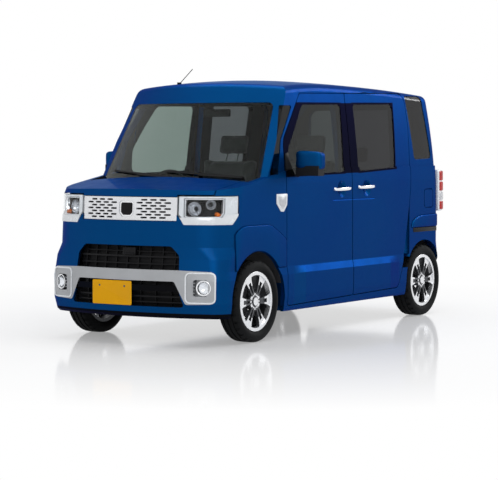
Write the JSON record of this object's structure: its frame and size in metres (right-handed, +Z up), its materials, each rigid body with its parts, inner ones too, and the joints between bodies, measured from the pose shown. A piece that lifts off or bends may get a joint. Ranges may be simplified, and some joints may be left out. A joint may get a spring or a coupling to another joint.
{
  "type": "kei car",
  "caption": "Tall boxy kei car, 3.4 m long, with hinged front doors, rear sliding doors, bonnet, tailgate, steering and turning wheels.",
  "frame": {"origin": "on the ground under the middle of the car", "axes": "+Y to the tail, +X to the car's left side, +Z up; the nose faces -Y"},
  "size_m": [1.889, 3.395, 1.9135],
  "materials": {
    "blue_paint": "gloss metallic",
    "clear_glass": "clear",
    "dark_glass": "tinted",
    "black_plastic": "satin",
    "seat_fabric": "woven",
    "dark_steel": "satin",
    "dark_aluminium": "satin",
    "silver_grille": "bright",
    "satin_silver": "satin",
    "lamp_clear": "clear",
    "lamp_housing": "satin with bright trim",
    "lamp_red": "red",
    "tyre_rubber": "matt",
    "wheel_alloy": "machined and dark grey"
  },
  "bodies": {
    "shell": {"body_side_left": "blue_paint", "body_side_right": "blue_paint", "bumper_garnish": "satin_silver", "cowl_panel": "black_plastic", "dashboard": "black_plastic", "driver_seat": "seat_fabric", "engine": "dark_steel", "exhaust": "dark_steel", "fixed_side_glass": "dark_glass", "floor_pan": "dark_steel", "fog_lamps": "lamp_clear", "front_bumper": "blue_paint", "front_fenders": "blue_paint", "front_grille": "silver_grille", "front_structure": "dark_steel", "front_subframe": "dark_steel", "front_wipers": "black_plastic", "fuel_tank": "black_plastic", "headlamp_housings": "lamp_housing", "headlamps": "lamp_clear", "passenger_seat": "seat_fabric", "radiator": "dark_aluminium", "rear_axle": "dark_steel", "rear_bumper": "blue_paint", "rear_seat": "seat_fabric", "roof_antenna": "black_plastic", "roof_panel": "blue_paint", "sliding_door_glass": "dark_glass", "sliding_door_left": "blue_paint", "sliding_door_right": "blue_paint", "tail_lamps": "lamp_red", "windscreen": "clear_glass"},
    "bonnet": {"bonnet": "blue_paint"},
    "front_door_left": {"front_door_left": "blue_paint", "front_door_glass_left": "clear_glass", "door_mirror_left": "black_plastic"},
    "front_door_right": {"front_door_right": "blue_paint", "front_door_glass_right": "clear_glass", "door_mirror_right": "black_plastic"},
    "tailgate": {"tailgate": "blue_paint", "tailgate_glass": "dark_glass", "rear_wiper": "black_plastic"},
    "fuel_flap": {"fuel_flap": "blue_paint"},
    "steering_wheel": {"steering_wheel": "black_plastic"},
    "knuckle_left": {"front_knuckle_left": "dark_steel"},
    "knuckle_right": {"front_knuckle_right": "dark_steel"},
    "wheel_front_left": {"wheel_front_left": "wheel_alloy", "tyre_front_left": "tyre_rubber"},
    "wheel_front_right": {"wheel_front_right": "wheel_alloy", "tyre_front_right": "tyre_rubber"},
    "wheel_rear_left": {"wheel_rear_left": "wheel_alloy", "tyre_rear_left": "tyre_rubber"},
    "wheel_rear_right": {"wheel_rear_right": "wheel_alloy", "tyre_rear_right": "tyre_rubber"}
  },
  "joints": [
    {"name": "front_door_left_hinge", "type": "hinge", "parent": "shell", "child": "front_door_left", "pos_m": [0.7375, -0.7395, 0.65], "axis": [0, 0, -1], "range_deg": [0, 65]},
    {"name": "front_door_right_hinge", "type": "hinge", "parent": "shell", "child": "front_door_right", "pos_m": [-0.7375, -0.7395, 0.65], "axis": [0, 0, 1], "range_deg": [0, 65]},
    {"name": "bonnet_hinge", "type": "hinge", "parent": "shell", "child": "bonnet", "pos_m": [0, -1.1805, 1.129], "axis": [-1, 0, 0], "range_deg": [0, 50]},
    {"name": "tailgate_hinge", "type": "hinge", "parent": "shell", "child": "tailgate", "pos_m": [0, 1.5225, 1.782], "axis": [1, 0, 0], "range_deg": [0, 80]},
    {"name": "fuel_flap_hinge", "type": "hinge", "parent": "shell", "child": "fuel_flap", "pos_m": [0.7275, 1.3375, 0.935], "axis": [0, 0, -1], "range_deg": [0, 85]},
    {"name": "steering", "type": "hinge", "parent": "shell", "child": "steering_wheel", "pos_m": [-0.345, -0.5625, 1], "axis": [0, 0.8829, 0.4695], "range_deg": [-525, 525]},
    {"name": "knuckle_left_steer", "type": "hinge", "parent": "shell", "child": "knuckle_left", "pos_m": [0.6, -1.1225, 0.19], "axis": [-0.193, 0, 0.9812], "range_deg": [-35, 35]},
    {"name": "knuckle_right_steer", "type": "hinge", "parent": "shell", "child": "knuckle_right", "pos_m": [-0.6, -1.1225, 0.19], "axis": [0.193, 0, 0.9812], "range_deg": [-35, 35]},
    {"name": "wheel_front_left_spin", "type": "hinge", "parent": "knuckle_left", "child": "wheel_front_left", "pos_m": [0.65, -1.1225, 0.2815], "axis": [1, 0, 0], "continuous": true},
    {"name": "wheel_front_right_spin", "type": "hinge", "parent": "knuckle_right", "child": "wheel_front_right", "pos_m": [-0.65, -1.1225, 0.2815], "axis": [1, 0, 0], "continuous": true},
    {"name": "wheel_rear_left_spin", "type": "hinge", "parent": "shell", "child": "wheel_rear_left", "pos_m": [0.65, 1.3325, 0.2815], "axis": [1, 0, 0], "continuous": true},
    {"name": "wheel_rear_right_spin", "type": "hinge", "parent": "shell", "child": "wheel_rear_right", "pos_m": [-0.65, 1.3325, 0.2815], "axis": [1, 0, 0], "continuous": true}
  ],
  "couplings": [
    {"joint": "knuckle_left_steer", "follows": "steering", "ratio": 0.06666},
    {"joint": "knuckle_right_steer", "follows": "steering", "ratio": 0.06666}
  ]
}
